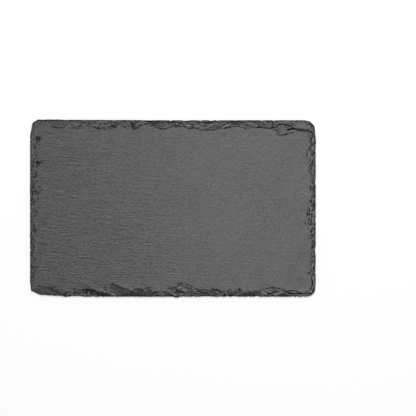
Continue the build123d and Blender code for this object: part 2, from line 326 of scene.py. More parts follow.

# %% [markdown]
# ## The marks that make this board
# Plates from noise look like slate, but not like this slate. Its largest chips, cracks and ridges are put in
# one by one, as a sculptor would with a crease brush. Each mark has a strength and a short line or outline of
# points, given in millimetres along one side and in from it. A chip is the fresh, dark bed of a scar that
# the CAD slab has, and a pit is a smaller one that is sunk here. A crack is a furrow at the foot of a cliff,
# darkened with painted shade. A ridge stands up and is bruised pale, and a pale plate lies flat. Rubble is a
# field of small crumbs, and scree is a darker one. A tint only makes a stretch paler, or darker where its
# strength is below zero. The marks are pressed in one after another, so their order counts, and a little
# noise shakes their lines, so that none looks ruled.

# %% List the marks of each side
FRONT_MARKS = [
    ("tint", [
        (0.8, (46, 11), (60, 13), (74, 14.6), (96, 12.4), (112, 12.6), (113, 9.6), (94, 9), (74, 13),
         (58, 9)),
        (0.8, (214, 11), (226, 12.6), (244, 11), (262, 13), (262, 6), (248, 6.6), (238, 8.4), (226, 10.2)),
        (0.35, (2, 9), (12, 9), (19, 6.5), (26, 4.5), (26, 1.5), (8, 2)),
        (0.4, (36, 6.4), (42, 5.6), (48, 4.8), (49, 2), (36, 2)),
        (0.5, (68, 11), (73, 12.5), (80, 11.6), (82, 8.6), (74, 6), (68, 8)),
        (0.4, (70, 5), (76, 4.2), (80, 2.4), (80, 0.8), (72, 2.4)),
        (0.5, (124, 5.6), (128, 7.2), (136, 5.4), (137, 2), (125, 1.8)),
        (1.2, (213, 6.4), (218, 8), (224, 8.8), (227, 6.6), (224, 3.4), (213, 2)),
        (0.6, (246, 7), (254, 9.6), (262, 8), (262, 2), (246, 2)),
        (-0.4, (47, 3), (52, 3.6), (58, 3), (62, 1.5), (60, 0.3), (47, 0.3)),
        (-0.4, (48, 6.4), (53, 7.4), (58, 6.4), (64, 4.8), (64, 1.8), (56, 2), (49, 3.4)),
        (0.8, (52, 9.6), (58, 9.8), (66, 8.4), (72, 7.4), (72, 6.2), (64, 6.8), (58, 7.8), (53, 8.6)),
        (0.5, (62, 12.4), (70, 13), (75, 12.6), (74, 10), (64, 9.8)),
        (0.9, (120, 6.6), (127, 8), (134, 6.8), (134, 4.4), (121, 4.2)),
        (0.6, (138, 8), (145, 8), (146.6, 4.8), (142, 4.6)),
        (-0.7, (146, 7.2), (152, 7.4), (157, 6.4), (157.4, 4), (147, 3.8)),
        (-0.25, (158, 5.6), (163, 6.2), (171, 5.6), (171, 3.6), (159, 3.4)),
        (0.9, (157, 9.8), (163, 9.6), (171, 9.6), (171, 7), (163, 7), (158, 7.4)),
        (0.5, (211, 4.2), (222, 4.8), (235, 4.4), (235, 1), (212, 1)),
        (0.9, (246, 7.6), (252, 8), (259.6, 7.4), (259.6, 4.2), (248, 4.4)),
    ]),
    ("rubble", [(1.0, (30, 8.6), (37, 8.8), (46, 7.4), (60, 6), (76, 1.5), (76, 0.3), (30, 0.3))]),
    ("scree", [
        (0.6, (112, 5.2), (118, 6), (125, 7), (131, 4.5), (135, 0.3), (112, 0.3)),
        (0.9, (171, 6), (174, 7.8), (177, 6.3), (186, 6.6), (190, 8.2), (195, 9.6), (199, 7.5), (205, 6),
         (214, 5.2), (214, 0.3), (171, 0.3)),
    ]),
    ("plate", [
        (0.7, (202, 9.4), (222, 10), (223, 6), (214, 5), (203, 5.6)),
        (0.25, (20, 10), (27, 8.8), (33, 6.4), (33, 4), (26, 5.5), (20, 8.5)),
        (0.45, (0.6, 3.6), (1.4, 9.4), (7, 9), (7, 3.4)),
    ]),
    ("chip", [
        (0.16, (3.7, 8.6), (6.7, 9.9), (11.3, 10.4), (15.3, 10.2), (19.3, 8.8), (22.6, 7.1), (25.9, 5.4),
         (28.5, 4.2), (30.5, 2.6), (29, 1), (14, 1.6), (6.5, 3)),
    ]),
    ("crack", [(0.45, (8, 9.8), (11.3, 10.2), (15.3, 10), (19.3, 8.6), (22.6, 6.9), (25.9, 5.2), (30, 3))]),
    ("plate", [(0.4, (30.5, 7.4), (34, 8.6), (36.4, 7.2), (34.5, 5.6), (31.5, 5.6))]),
    ("crack", [(0.6, (32, 5), (36, 4), (37.5, 5.5))]),
    ("ridge", [
        (0.7, (37.4, 8.3), (37.8, 6.6)), (0.8, (38.9, 5), (39.4, 2.6)), (0.5, (42.5, 6), (45, 4.8)),
    ]),
    ("crack", [(0.6, (39.8, 7.9), (43.1, 7.2), (46, 6.7), (49, 6.6))]),
    ("chip", [
        (1.25, (43.8, 7), (48.4, 7.2), (51.1, 8), (54.4, 7.8), (57.7, 7), (61.7, 6.3), (68.3, 4.3),
         (77, 1.2), (68.3, 0.7), (61.7, 2.6), (55.1, 4.8), (48.4, 5.6)),
    ]),
    ("plate", [
        (1.0, (63.5, 7.6), (66, 8.2), (72, 6.8), (80, 3.2), (80, 0.6), (77, 1.6), (70, 4.4), (65, 5.8)),
    ]),
    ("crack", [(0.4, (68.5, 9), (72, 8.8))]),
    ("ridge", [
        (0.6, (66, 6.4), (71, 4.9), (75, 3.2)), (1.2, (74.8, 3.2), (78.8, 1.5)),
    ]),
    ("chip", [
        (0.36, (74.8, 11.9), (76.5, 12.9), (78.5, 11.9), (82.8, 9.3), (86.7, 8.6), (89.7, 7.6), (91.4, 5.6),
         (93, 5.9), (95.4, 6.6), (98, 7.2), (103.3, 7.4), (105.4, 6.6), (107.3, 4.9), (113, 4.4),
         (114, 0.4), (79.5, 0.4), (78.5, 3), (76.8, 7.5), (75, 10.5)),
    ]),
    ("crack", [
        (0.55, (75, 10.5), (76.5, 12.6), (82.8, 9), (86.7, 8.3), (89.7, 7.2), (91.4, 5.3)),
        (0.7, (95.4, 6.3), (98, 6.9), (103.3, 7.1), (105.4, 6.3)),
    ]),
    ("ridge", [
        (1.5, (79.2, 13.4), (82.8, 11.4), (86.4, 10.3), (89.5, 9.2)),
        (0.8, (91.6, 7), (94.5, 7.4), (96.5, 8)), (0.35, (97, 4.5), (100, 4)),
    ]),
    ("chip", [(0.3, (105.6, 7.4), (108, 8), (112.4, 8.2), (113.6, 5.2), (109.5, 4.6), (107, 5.2))]),
    ("crack", [(0.7, (106.6, 8), (109, 8.6), (112.6, 8.7))]),
    ("ridge", [(0.6, (113.4, 7.8), (114.8, 5))]),
    ("pit", [(0.9, (114.5, 5.6), (118, 5.2), (119, 3.2), (115, 3))]),
    ("ridge", [
        (0.7, (119.3, 2.6), (120.6, 1.8)), (0.5, (123, 3.6), (124.2, 2.6)),
    ]),
    ("pit", [(0.6, (124.5, 5.8), (128, 5.4), (131, 2.6), (134, 0.6), (126, 0.6), (124, 3.4))]),
    ("ridge", [(1.0, (126.6, 7.2), (129, 5.4), (131.5, 3.6), (135, 1.4))]),
    ("pit", [(0.8, (134.7, 7.6), (137.6, 6.6), (141.6, 3.9), (142.9, 2.9), (137, 3.2), (135.4, 4.9))]),
    ("crack", [(0.8, (135, 7.5), (138, 6.2), (141, 4.6), (143.6, 3.3))]),
    ("plate", [
        (0.7, (136.7, 10.9), (140.3, 10.5), (144.9, 6.9), (145.6, 4.9), (142.3, 4.9), (139, 7.6),
         (135.3, 8.2)),
    ]),
    ("ridge", [
        (0.5, (137, 9.2), (140, 8.4)), (0.6, (142.5, 6.6), (144.6, 5.4)),
    ]),
    ("crack", [
        (0.4, (134.3, 12.5), (137, 12.7), (141.6, 12.7), (144.9, 11.9)),
        (0.8, (144.9, 11.9), (148.3, 10.9), (152.2, 8.9), (156.2, 6.6), (157.9, 5.2), (160.9, 3.9),
         (165, 2.8)),
        (0.4, (144.9, 10.2), (150.3, 6.9), (152.9, 4.9)),
    ]),
    ("plate", [(0.2, (146, 9.5), (149, 9.6), (156, 5.6), (154, 3), (149, 5.5))]),
    ("chip", [(0.15, (157.9, 5), (163.5, 6.4), (168.8, 6.2), (172.5, 5), (172, 0.5), (158, 0.5))]),
    ("crack", [(0.4, (162.8, 6.6), (171.5, 6.2), (174, 7.8))]),
    ("chip", [(0.55, (194, 5.2), (204.2, 5.6), (211.6, 5), (216.2, 1.7), (215.3, 0.4), (194.9, 0.4))]),
    ("ridge", [
        (0.5, (173.8, 4.4), (174.6, 4.8)), (0.5, (174.8, 2.4), (175.6, 2.8)),
        (0.5, (177.7, 4.2), (178.5, 3.6)), (1.0, (181, 4.9), (182.6, 3)), (0.5, (184.4, 4.2), (185.6, 4.9)),
        (0.4, (187.6, 6.4), (188.6, 6.8)), (0.5, (190.3, 3.6), (191.2, 4.2)),
        (0.4, (191.4, 7), (192.3, 7.4)), (0.5, (194.4, 4.1), (195.2, 3.6)), (0.5, (196, 4.8), (197, 5)),
        (0.4, (198, 3.4), (198.8, 4.2)), (0.5, (200.6, 4), (202, 3.8)), (0.4, (204.8, 3.2), (205.6, 3.6)),
    ]),
    ("plate", [(1.1, (213.8, 4.4), (216, 5.6), (219.5, 5.8), (221, 4.4), (219.5, 2.2), (216.5, 2.6))]),
    ("crack", [(0.9, (220.4, 1.9), (223.7, 3.2), (226.3, 4.2), (229, 5.6))]),
    ("ridge", [(1.3, (227, 1.6), (230.3, 3.2), (233.6, 4.9))]),
    ("crack", [
        (0.6, (231.6, 1.3), (234.3, 2.6)), (0.5, (215.7, 6.6), (219, 7.6), (221.7, 7.9), (224.3, 9)),
        (0.9, (224.3, 9), (228.3, 8.3), (233, 7.2), (236.3, 5.9), (238.9, 4.6), (240.9, 3.2), (244.9, 2.9),
         (248.9, 3.2), (256.8, 2.8), (260.8, 3.2)),
        (1.0, (238.3, 5.6), (241.6, 6.1), (244.9, 5.7), (247.5, 4.9), (249.5, 3.9)),
        (0.7, (236.3, 5.9), (238.9, 4.6), (240.9, 3.2), (248.9, 3.2), (256.8, 2.8), (260.4, 3.2)),
    ]),
    ("ridge", [
        (1.5, (241, 4.7), (246.5, 4.3)), (0.5, (236, 7.6), (239.5, 6.6), (243, 7.1)),
        (1.5, (248, 2.1), (259, 2)),
    ]),
    ("plate", [(1.4, (259.3, 4.4), (261.7, 4.6), (262, 6.2), (259.8, 6.4))]),
    ("crack", [(0.8, (259.4, 4.4), (260.2, 7), (261, 9.5), (261.9, 14.5))]),
]
BACK_MARKS = [
    ("tint", [
        (0.45, (3, 7), (8, 9), (18, 8), (25, 8.6), (25, 4.5), (13, 2), (6, 2)),
        (0.4, (35, 7), (40, 8.4), (47, 7.4), (58, 5), (58, 2), (36, 1.8)),
        (0.4, (60, 6), (66, 8.4), (78, 7.6), (80, 3), (70, 3.4)),
        (-0.5, (102, 4.4), (108, 5.2), (114, 3.6), (113, 1.2), (103, 1.2)),
        (-0.65, (125, 4), (131, 5.4), (138, 4.4), (147, 4.8), (148, 1.4), (125, 1.2)),
        (0.9, (136, 7), (142, 8), (148, 8.2), (147, 5.4), (137, 5)),
        (-0.85, (155, 3.4), (160, 4.2), (166, 4.8), (180, 4.6), (181, 1.2), (155, 1)),
        (-1.1, (204, 3.4), (212, 4.2), (224, 4), (234, 3.4), (235, 1), (204, 1)),
        (0.9, (39.6, 7), (46, 7.2), (47.4, 4), (40, 3.6)),
        (0.6, (62, 7.6), (68, 8), (75, 7.4), (75, 4.6), (63, 4.8)),
        (0.7, (110, 7.6), (115, 8.2), (120, 7.4), (120, 4.8), (111, 4.8)),
    ]),
    ("crack", [
        (0.35, (36, 8.4), (42, 9.2), (48, 9), (54, 8.7), (60, 8.3)),
        (0.7, (39.6, 7.4), (42, 8.2), (44.6, 8.4)), (0.5, (83.4, 6.6), (87, 8), (90.7, 9.2)),
        (0.5, (94.4, 7.4), (97, 8.6), (99.8, 8.2)),
        (0.5, (250, 0.8), (253, 0.8), (257.3, 1.6), (261, 4), (263.4, 7.7), (264.3, 12)),
    ]),
    ("plate", [
        (0.3, (4, 3), (10, 2), (16, 3.5), (16, 6), (8, 7), (4, 6)),
        (0.35, (12, 1.2), (38, 1.2), (38, 7), (33, 8.3), (27, 8.8), (20, 6.6), (12, 5)),
        (0.5, (39.1, 2.4), (45, 2.2), (45.8, 7.2), (41.8, 7.6), (39.1, 5.9)),
    ]),
    ("rubble", [(0.6, (46, 1), (66, 1), (74, 4.5), (74, 8.5), (66, 9), (58, 7), (47, 8))]),
    ("crack", [
        (0.7, (20.6, 5.9), (23.2, 6.9), (25.9, 8.1), (27.9, 8.5), (30.5, 8.1), (32.5, 7.9)),
        (0.4, (17.3, 3), (19.9, 4)),
    ]),
    ("ridge", [
        (0.5, (5.2, 4.8), (7.2, 2.8), (10, 1.6)), (1.5, (5.9, 8), (6, 12), (5.4, 17)),
    ]),
    ("crack", [
        (0.35, (4.6, 7.5), (4.7, 12), (4.2, 17)), (0.5, (47.1, 2.3), (51, 3.6), (54.4, 4.9)),
        (0.7, (58.1, 6.9), (61, 8.1), (64.3, 9.1), (67.7, 8.6)),
    ]),
    ("chip", [(0.8, (74.8, 4.4), (77.5, 4.6), (80.1, 6.6), (82.1, 8.4), (78.8, 8.4), (75.5, 7.2))]),
    ("plate", [(0.4, (81, 1.6), (90, 2), (91.5, 5), (91, 8.4), (87, 7.6), (83.4, 6), (80, 3))]),
    ("chip", [
        (0.95, (91, 1.3), (93.4, 3), (94, 6.6), (96, 8.6), (98.7, 8.6), (101, 6.9), (98, 6.6), (97.3, 4),
         (94.7, 2.3)),
    ]),
    ("crack", [(0.5, (101.3, 5.3), (104.6, 6.9))]),
    ("pit", [(0.55, (105, 1.2), (121.5, 1.2), (119.5, 4.6), (114.5, 4.6), (109, 3))]),
    ("crack", [
        (0.5, (112.6, 5.3), (117.2, 6.9), (120.5, 8.9), (123.2, 9.4), (127.2, 8.6), (130.5, 7.3),
         (133.8, 5.9)),
    ]),
    ("plate", [(0.4, (119.9, 4.3), (124, 4), (128.5, 4.6), (127.5, 7.4), (122.5, 8), (120.3, 6.6))]),
    ("pit", [(0.55, (126.5, 1.3), (136, 1.3), (135.1, 4.9), (130.5, 4.2))]),
    ("crack", [
        (0.6, (131.7, 1.4), (140, 1.3), (150, 1.5), (158, 1.4), (165, 1.4), (172, 1.5)),
        (0.7, (133.7, 5.3), (138.3, 6.3), (142.9, 6.9), (146.9, 8.6), (151.6, 8.5), (154.9, 8.7),
         (157.5, 10.2)),
        (0.7, (157.5, 10.2), (160.8, 10.6), (164.8, 9.9), (168.8, 10.2), (173.1, 9.9)),
    ]),
    ("ridge", [
        (0.6, (142.3, 3.3), (144.3, 4.6)), (0.6, (145, 5.7), (148.3, 6.6)),
    ]),
    ("plate", [
        (0.4, (151, 2.6), (157, 2.8), (158.5, 5.6), (163, 8), (161, 9.4), (158, 8.9), (153, 7.2),
         (150.5, 5)),
    ]),
    ("pit", [(0.6, (159.2, 2.3), (169.8, 1.6), (168.8, 4), (164.8, 4.9), (161.5, 4.3))]),
    ("ridge", [(0.9, (164.8, 7.6), (168.8, 5.1), (174.1, 3.9))]),
    ("crack", [(0.55, (164.8, 9.6), (167.5, 7.4), (170.8, 6.1), (174.1, 6))]),
    ("plate", [(0.2, (168, 8.6), (170.5, 7), (174, 7), (174, 9.2))]),
    ("ridge", [(0.7, (179.4, 7.4), (184.7, 4.7))]),
    ("crack", [(0.7, (179.6, 8.9), (182.4, 8.5), (186, 6.4))]),
    ("chip", [
        (0.5, (186.4, 1.4), (191, 1.2), (197, 1.6), (200, 3.4), (196, 5.4), (191, 6.8), (187.4, 6),
         (185.6, 3.6)),
    ]),
    ("crack", [(0.4, (195, 9), (203, 9.4))]),
    ("ridge", [(0.4, (195.5, 7.6), (199, 4.6))]),
    ("plate", [(0.6, (202.5, 2.6), (211.8, 2.6), (212, 5.6), (206, 6.4), (202.8, 5))]),
    ("crack", [
        (0.8, (198.5, 5.3), (202.5, 5.9), (205.8, 7.6), (209.1, 8.3), (213.1, 7.3), (217.7, 8.5),
         (223.7, 8.6)),
        (0.4, (209.1, 8.3), (213.1, 7.5), (217.7, 8.6), (223.7, 8.8)),
    ]),
    ("plate", [(0.1, (213, 3.4), (221, 3), (224, 5), (222.5, 7.6), (214, 6.4))]),
    ("ridge", [(0.7, (216.2, 2.4), (218.6, 2.4))]),
    ("crack", [
        (0.8, (224.3, 1.6), (225.3, 5), (224.9, 8), (226.3, 7.6)),
        (0.9, (226.3, 7.6), (229, 5.9), (231, 4.6), (233.6, 4.5), (236.9, 4.9), (240.3, 5.9), (242.9, 7.6),
         (244.9, 8.9)),
        (0.5, (227, 5.1), (229.6, 3.3), (231, 2.4)),
    ]),
    ("ridge", [(0.5, (228.2, 4.7), (231, 3.4), (236, 3.4))]),
    ("crack", [
        (0.7, (238.3, 9.6), (241.6, 8.9), (244.9, 8.9)),
        (1.0, (238.3, 10.2), (244.9, 8.9), (248.9, 9.3), (252.9, 9.9), (256.2, 10.2), (258.8, 11.6),
         (262.6, 13.3)),
        (0.9, (246.5, 10.4), (250, 11), (256, 11.7)),
        (0.8, (230.3, 14.7), (234.3, 14.9), (237.6, 14), (240.9, 13.1), (244.9, 12.2)),
        (0.6, (258.5, 12.4), (257.5, 16.4)),
    ]),
    ("ridge", [(0.7, (241.6, 11), (246.3, 10.7))]),
    ("plate", [
        (0.5, (228, 8.6), (233, 6.5), (240, 8), (238, 12.5), (231, 13.5)),
        (0.6, (246, 7.7), (246.5, 2), (256, 2), (261.5, 6), (262.8, 11), (258, 9.6), (252, 8.6)),
    ]),
    ("ridge", [(0.5, (254.4, 5.2), (255.2, 5.6))]),
    ("crack", [(0.4, (254.8, 6.3), (255.6, 6.2))]),
    ("ridge", [(0.5, (258.2, 6.2), (258.9, 6.4))]),
    ("crack", [(0.4, (257.6, 5.2), (258.4, 5))]),
]
LEFT_MARKS = [
    ("tint", [
        (1.3, (5, 5), (16, 5.8), (28, 5), (36, 6), (37, 1), (6, 0.6)),
        (-0.45, (57, 8), (63, 9.6), (69, 8), (68, 5.6), (58, 5.8)),
        (-0.4, (102, 8), (108, 9.6), (114, 8.4), (113, 5.8), (103, 6)),
        (0.6, (58, 3), (64, 3.4), (71, 3), (71, 0.6), (58, 0.6)),
        (0.6, (115, 2.8), (121, 3.2), (126, 2.8), (126, 0.6), (115, 0.6)),
        (-0.5, (104, 4.8), (115, 5.4), (126, 4.8), (126, 3), (104, 2.6)),
        (0.4, (147, 5), (153, 6.4), (160, 5), (158, 1), (148, 0.6)),
    ]),
    ("plate", [(0.2, (5, 0.2), (158, 0.2), (158, 8.4), (130, 8), (110, 9), (60, 8.4), (44, 7), (5, 7))]),
    ("rubble", [(0.8, (12, 0.2), (154, 0.2), (148, 8.4), (130, 8), (110, 9), (60, 8.4), (44, 7), (20, 7))]),
    ("pit", [(1.0, (15.2, 4.8), (17.6, 11.6), (23, 8.4), (19.5, 5.6))]),
    ("crack", [(0.6, (18.2, 9.6), (18.4, 7))]),
    ("pit", [(0.9, (38.4, 6), (40.1, 13.4), (42.6, 6))]),
    ("crack", [(0.7, (40.1, 9), (40.1, 11.8))]),
    ("pit", [(0.5, (36, 5.3), (43, 5.3), (43.6, 3), (37, 2.8))]),
    ("crack", [
        (0.5, (56.8, 6.4), (58.2, 7)), (0.9, (67.6, 8.3), (69.2, 8.9)), (0.9, (73.4, 7.6), (74.8, 8.3)),
        (0.6, (76, 4.4), (77.4, 5)), (0.5, (80.6, 6.2), (82, 7)), (0.6, (93.8, 2), (95, 2.8)),
        (0.6, (106.4, 4.4), (108, 3.6)), (0.9, (62.8, 8.8), (63.4, 10.4)), (0.8, (74, 2.8), (75.4, 2.2)),
        (0.9, (88.4, 6.2), (90.2, 5.8)), (0.5, (92.4, 8.6), (92.8, 11), (93.4, 14.5)),
        (0.8, (97.6, 4.8), (99, 3.8)), (0.8, (102, 6), (103.2, 7), (104.4, 6.4)),
        (0.3, (121.8, 8), (122, 11)),
    ]),
    ("pit", [(0.6, (128.2, 5), (129.8, 7.4), (131.2, 5))]),
    ("crack", [
        (0.3, (134.2, 7.6), (134.6, 10)), (0.9, (136.4, 7.4), (138.4, 5.8), (140, 4.9)),
        (0.8, (29.6, 6.4), (31, 6.8)), (0.8, (48.4, 6.2), (50, 7)),
    ]),
    ("ridge", [
        (0.5, (14, 5.8), (15.4, 6.2)), (0.5, (26.5, 3.8), (29.5, 4.2)), (0.4, (11.8, 6), (13, 6.2)),
        (0.4, (7.6, 8.6), (8, 9.8)), (0.4, (33.8, 4.5), (35, 4.8)), (0.4, (51, 4), (52.4, 4.6)),
        (0.4, (56.8, 3.8), (58.4, 4.2)), (0.7, (81, 3.1), (82, 3.7)), (0.4, (83.6, 6.2), (84.4, 7.2)),
        (0.4, (95, 6.2), (95.6, 7.2)), (0.4, (104.2, 2.6), (105, 3.4)), (0.35, (112.6, 4), (115.4, 4.1)),
        (0.4, (125.2, 3.7), (126.6, 4.2)), (0.35, (135, 3.5), (136.4, 3.9)), (0.35, (151.6, 4), (153, 6)),
    ]),
]
RIGHT_MARKS = [
    ("tint", [
        (0.6, (112, 2.6), (120, 3.6), (127, 2.8), (126, 0.5), (113, 0.5)),
        (0.8, (134, 5), (141, 6.6), (148, 5.6), (147, 0.8), (135, 0.8)),
        (0.3, (76, 4.4), (88, 4.6), (98, 4.2), (104, 3.6), (104, 1.4), (77, 1.2)),
        (1.2, (94, 3.4), (100, 4.4), (109, 4.6), (109, 0.4), (94, 0.4)),
    ]),
    ("pit", [(0.25, (13.8, 4.4), (15.5, 7.4), (19, 7.8), (23, 6.6), (23.6, 4.4))]),
    ("rubble", [(0.5, (24, 0.4), (150, 0.4), (150, 5), (140, 4.4), (100, 4), (60, 4), (24, 5))]),
    ("scree", [
        (0.8, (68, 0.4), (72, 7), (80, 8), (90, 9.6), (96, 10.8), (100, 8), (106, 7.2), (112, 5.4),
         (113, 0.4)),
    ]),
    ("plate", [(1.6, (157.4, 4), (160.4, 3.8), (160.8, 6.2), (157.8, 6.6))]),
    ("ridge", [
        (1.1, (18.2, 2.8), (21, 2.7)), (0.8, (26, 2.7), (27.8, 2.7)), (0.7, (36, 3.6), (37.4, 3.2)),
        (0.7, (134, 2.4), (135.4, 2.4)), (1.3, (146.6, 2.9), (148, 2.8)), (1.0, (154.4, 3), (155.8, 2.8)),
        (1.5, (158.2, 5.2), (159.8, 4.2)), (1.2, (158.6, 5.9), (160, 4.9)),
        (0.6, (157.6, 8.8), (158.4, 8.2)),
    ]),
    ("crack", [
        (0.4, (117.5, 3.4), (120.5, 4.4)), (0.45, (80, 5.7), (84, 6), (88.6, 6.4)),
        (0.3, (86, 8.2), (88.6, 8.4)), (0.6, (95.3, 9.6), (97.2, 10.8)), (1.0, (97, 5.2), (97.9, 6)),
        (0.25, (101, 3), (105, 3.8), (110, 3.4)), (0.6, (105.6, 7.2), (106.8, 7.5)),
        (0.6, (109.8, 6.8), (110.6, 7.4)),
    ]),
    ("ridge", [
        (0.7, (80.6, 4.7), (86.8, 4.5)), (0.7, (84.6, 1.6), (87.4, 1.4)), (0.8, (88.8, 2.6), (89.6, 3)),
        (0.6, (94.2, 2.2), (95, 2.6)), (1.3, (99.4, 5.2), (100.2, 6.2)), (0.4, (105.6, 8.2), (109, 8.8)),
        (0.5, (114.2, 2.4), (115.2, 2.8)),
    ]),
    ("plate", [(1.0, (17.2, 1.9), (21.6, 1.9), (21.2, 3.6), (17.8, 3.6))]),
    ("pit", [(0.6, (17.1, 4), (23, 4), (23, 5.8), (17.5, 5.6))]),
    ("plate", [(0.9, (24.8, 1.6), (28.2, 1.6), (29.2, 3.4), (25.8, 3.4))]),
    ("pit", [(0.6, (28.5, 3.2), (33.5, 2.4), (34.2, 4.6), (31, 4.6))]),
    ("crack", [(0.6, (23.7, 4.6), (26.6, 6.2), (30.2, 8.9), (34.6, 8.7))]),
    ("pit", [(0.7, (135.4, 1.4), (139.1, 1.4), (138.6, 3.4), (136, 3.2))]),
    ("crack", [(0.9, (138.9, 4.6), (142.9, 6.9))]),
    ("ridge", [
        (1.1, (137, 5.4), (140, 7)), (0.6, (143, 5.4), (149, 5.6)),
    ]),
    ("crack", [(0.8, (151.5, 3.6), (155, 4.6), (157.5, 5.6))]),
]

# %% Press the marks into the edge
MARK_SHAKE = 0.45
SHAKE_REACH = 1.6
# Blender seeds noise_vector from the clock. With a seed of its own, every run shakes the marks alike.
SHAKE_SEED = 1
noise.seed_set(SHAKE_SEED)
MARK_MARGIN = 1.0
LINE_FLANK = 0.8
# Lines: (half the width in mm, how deep they are at full strength, how much paler).
# A crack's tone below zero is painted shade in its furrow.
LINES = {"crack": (0.68, 0.8 * MM, -0.42), "ridge": (0.95, -0.45 * MM, 0.5)}
# Fields: (width of the slope at the rim in mm, how deep the bed is at full strength, how much paler).
FIELDS = {
    "chip": (0.45, 0.2 * MM, -0.26),
    "pit": (0.6, 0.9 * MM, -0.26),
    "plate": (1.0, 0.0, 0.22),
    "rubble": (2.0, 0.25 * MM, 0.14),
    "scree": (1.0, 0.45 * MM, -0.02),
    "tint": (1.5, 0.0, 0.22),
}
BED_SHARE = 0.8
PLATE_CALM = 2.0


def place_mark(side, along, inward):
    """A mark's point on the board in mm, counted along a long side from the left, or an end from the back."""
    if side in ("left", "right"):
        x = inward - half_length / MM
        return Vector((x if side == "left" else -x, half_width / MM - along))
    y = inward - half_width / MM if side == "front" else half_width / MM - inward
    return Vector((along - half_length / MM, y))


def line_distance(spot, points, closed):
    """How far a spot lies from a line of points, or from the outline that they enclose."""
    ends = points[1:] + points[:1] if closed else points[1:]
    best = math.inf
    for a, b in zip(points, ends):
        way = b - a
        t = max(0.0, min(1.0, (spot - a).dot(way) / way.length_squared))
        best = min(best, (spot - a - way * t).length)
    return best


def is_inside(spot, points):
    """Whether an outline encloses the spot: a line from it crosses the outline an odd number of times."""
    inside = False
    for a, b in zip(points, points[1:] + points[:1]):
        passes = (a.y > spot.y) != (b.y > spot.y)
        if passes and spot.x < a.x + (b.x - a.x) * (spot.y - a.y) / (b.y - a.y):
            inside = not inside
    return inside


SIDE_MARKS = {"front": FRONT_MARKS, "back": BACK_MARKS, "left": LEFT_MARKS, "right": RIGHT_MARKS}
marks = []
for side, runs in SIDE_MARKS.items():
    for kind, run in runs:
        for strength, *points in run:
            points = [place_mark(side, *point) for point in points]
            low = Vector((min(p.x for p in points) - MARK_MARGIN, min(p.y for p in points) - MARK_MARGIN))
            high = Vector((max(p.x for p in points) + MARK_MARGIN, max(p.y for p in points) + MARK_MARGIN))
            marks.append((kind, strength, points, low, high))
for v in slab.verts:
    if v[gap_of] > BROKEN_REACH:
        continue
    spot = Vector((v.co.x, v.co.y)) / MM
    spot += MARK_SHAKE * noise.noise_vector(spot.to_3d() / SHAKE_REACH).xy
    for kind, strength, points, low, high in marks:
        if not (low.x < spot.x < high.x and low.y < spot.y < high.y):
            continue
        if kind in LINES:
            half, drop, tone = LINES[kind]
            push = strength * smooth_step(0.0, LINE_FLANK, 1 - line_distance(spot, points, False) / half)
            v[depth_of] = max(0.0, v[depth_of] + push * drop)
            v[tone_of] += push * tone
        elif is_inside(spot, points):
            slope, drop, tone = FIELDS[kind]
            share = smooth_step(0.0, slope, line_distance(spot, points, True))
            v[tone_of] += share * strength * tone
            if kind == "tint":
                continue
            v[depth_of] += share * BED_SHARE * (v[scar_of] - v[depth_of])
            v[depth_of] += share * strength * drop
            if kind in ("rubble", "scree"):
                v[rubble_of] = max(v[rubble_of], share * strength)
            else:
                calm = share * (min(1.0, PLATE_CALM * strength) if kind == "plate" else 1.0)
                v[bed_of] = max(v[bed_of], calm)
                v[rubble_of] *= 1 - calm
print("marks:", len(marks))

# %% [markdown]
# ## Layers and splinters
# On each plate the ends of finer layers show as steps of about half a millimetre. A staircase function
# gathers the depth into such steps, and noise makes their lines wander. Smaller Voronoi cells are splinters
# that stand up or broke out. In rubble and scree the smallest cells are crumbs, each a little paler or
# darker than the next. Fine noise roughens what is left, and last, the rim drops off steeply.
# Within a millimetre and a half of the rim, painted shade darkens the colour, most at the rim itself.

# %% Step and roughen the broken edge
STEP = 0.5 * MM
STEP_SHARE = 0.5
STEP_WANDER = 0.9
STEP_REACH = 5.0
STEP_CLIFF = (0.6, 0.95)
BROKEN_FROM, BROKEN_FULL = 0.03 * MM, 0.4 * MM
SPLINTER_LONG = 2.2
SPLINTER_SHORT = 1.2
SPLINTER_SLICE = 8.0
SPLINTER_CHANCE = 5.17
SPLINTER_RISE = 0.25 * MM
SPLINTER_TONE = -0.15
CRUMB = 1.15
CRUMB_TONE = 0.3
ROUGH = 0.08 * MM
# Waves of the roughness: (share of ROUGH, length in mm).
ROUGH_WAVES = ((1.0, 0.9), (0.7, 2.1))
RIM_DROP = 0.8 * MM
RIM_REACH = 1.5 * MM
# How much painted shade darkens the colour at the rim.
RIM_SHADE = -0.65
LEAST_WALL = 0.45 * MM
BED_CALM = 0.75


def stairs(depth, place):
    """The same depth, gathered into steps whose lines wander."""
    shift = STEP_WANDER * noise.noise(place / STEP_REACH)
    count = depth / STEP + shift
    whole = math.floor(count)
    return STEP * (whole + smooth_step(*STEP_CLIFF, count - whole) - shift)


def splinter(x, y, size_x, size_y):
    """Whether the splinter of this size at a place stands up or broke out, from -1 to 1."""
    seed = noise.voronoi(Vector((x / MM / size_x, y / MM / size_y, SPLINTER_SLICE)))[1][0]
    return noise.cell(seed * SPLINTER_CHANCE + MIDDLE)


